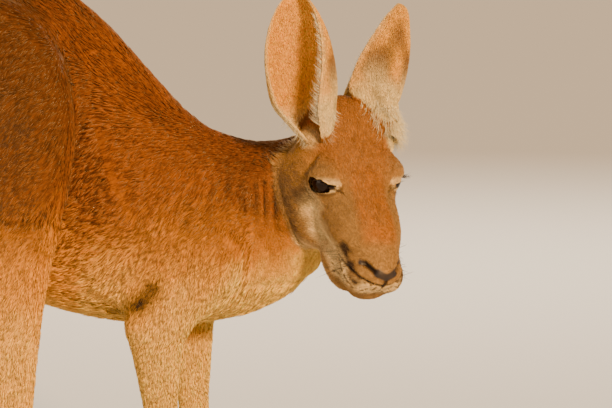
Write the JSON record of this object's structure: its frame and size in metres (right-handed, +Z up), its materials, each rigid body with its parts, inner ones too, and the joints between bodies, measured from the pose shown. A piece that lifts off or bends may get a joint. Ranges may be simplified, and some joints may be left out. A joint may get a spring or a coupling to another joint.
{
  "type": "red kangaroo",
  "caption": "Life-size red kangaroo at rest on all fours, head turned to its right, hind feet flat beside the hands and tail laid along the ground.",
  "frame": {"origin": "on the ground, under the middle of the box that holds the whole animal", "axes": "+X forward along the body from tail to head, +Y to the animal's left, +Z up"},
  "size_m": [1.4976, 0.3578, 0.739],
  "materials": {
    "coat": "short dense orange-brown fur",
    "pale_coat": "short pale cream fur",
    "face_coat": "very short fur, orange on the nose and grey-brown on the cheek",
    "ear_coat": "fine short fur over thin skin, fringed with long pale hairs",
    "eye": "wet, very dark brown",
    "claw": "dark horn, worn at the tip"
  },
  "bodies": {
    "root": {"head": "face_coat", "neck": "coat", "upper_arm_right": "coat", "thigh_right": "coat", "upper_arm_left": "coat", "thigh_left": "coat", "tail_root": "coat", "trunk": "coat", "eye_right": "eye", "eye_left": "eye", "ear_right": "ear_coat", "ear_left": "ear_coat", "tail_middle": "coat", "tail_tip": "coat", "forearm_right": "pale_coat", "shank_right": "pale_coat", "forearm_left": "pale_coat", "shank_left": "pale_coat", "claw_hand_right_1": "claw", "claw_hand_right_2": "claw", "claw_hand_right_3": "claw", "claw_hand_right_4": "claw", "claw_hand_right_5": "claw", "hand_right": "pale_coat", "claw_foot_right_4": "claw", "claw_foot_right_5": "claw", "claw_foot_right_2": "claw", "foot_right": "pale_coat", "claw_hand_left_1": "claw", "claw_hand_left_2": "claw", "claw_hand_left_3": "claw", "claw_hand_left_4": "claw", "claw_hand_left_5": "claw", "hand_left": "pale_coat", "claw_foot_left_4": "claw", "claw_foot_left_5": "claw", "claw_foot_left_2": "claw", "foot_left": "pale_coat"}
  },
  "joints": []
}
